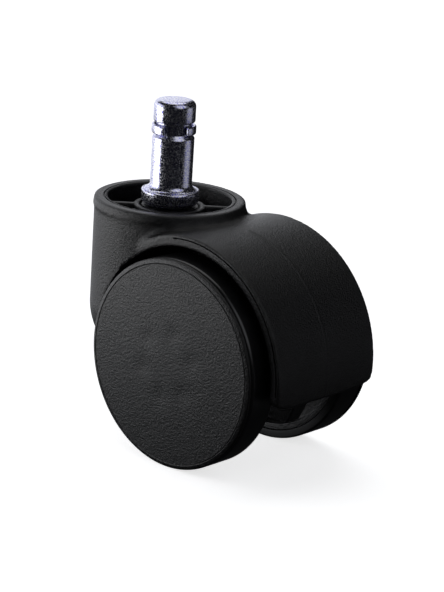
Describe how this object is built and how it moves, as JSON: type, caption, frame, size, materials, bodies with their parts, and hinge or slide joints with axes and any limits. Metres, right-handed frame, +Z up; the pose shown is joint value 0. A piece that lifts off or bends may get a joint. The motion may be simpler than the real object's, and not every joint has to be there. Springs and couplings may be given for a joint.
{
  "type": "chair caster wheel",
  "caption": "Hooded swivel caster for an office chair, with twin wheels under a curved hood and a plain push-in stem with a grip ring.",
  "frame": {"origin": "on the swivel axis, level with the shoulder of the stem's collar, where the stem stops in the chair leg", "axes": "+Z up along the stem, +X from the stem towards the back of the hood (the way the wheels trail), +Y along the axle to the right-hand wheel"},
  "size_m": [0.0707, 0.0452, 0.081],
  "materials": {
    "black_nylon": "black nylon with a fine spark-eroded texture",
    "black_tread": "smooth semi-gloss black tread",
    "bright_zinc": "bright blue-passivated zinc plating on steel",
    "steel": "plain machined steel",
    "natural_acetal": "natural acetal, turned"
  },
  "bodies": {
    "stem": {"stem": "bright_zinc", "stem_clip": "steel"},
    "ring": {"grip_ring": "bright_zinc"},
    "fork": {"housing": "black_nylon", "collar_washer": "black_nylon", "stem_bush": "natural_acetal", "thrust_disc": "steel", "axle": "steel", "thrust_washer_left": "steel", "thrust_washer_right": "steel", "axle_clip_left": "steel", "axle_clip_right": "steel"},
    "wheel_left": {"tread_left": "black_tread", "wheel_core_left": "black_nylon", "wheel_cover_left": "black_nylon", "hub_bush_left": "natural_acetal"},
    "wheel_right": {"tread_right": "black_tread", "wheel_core_right": "black_nylon", "wheel_cover_right": "black_nylon", "hub_bush_right": "natural_acetal"}
  },
  "joints": [
    {"name": "ring_turn", "type": "hinge", "parent": "stem", "child": "ring", "pos_m": [0, 0, 0.01495], "axis": [0, 0, 1], "continuous": true},
    {"name": "swivel", "type": "hinge", "parent": "stem", "child": "fork", "pos_m": [0, 0, 0], "axis": [0, 0, 1], "continuous": true},
    {"name": "wheel_left_spin", "type": "hinge", "parent": "fork", "child": "wheel_left", "pos_m": [0.0225, 0, -0.0345], "axis": [0, 1, 0], "continuous": true},
    {"name": "wheel_right_spin", "type": "hinge", "parent": "fork", "child": "wheel_right", "pos_m": [0.0225, 0, -0.0345], "axis": [0, 1, 0], "continuous": true}
  ]
}
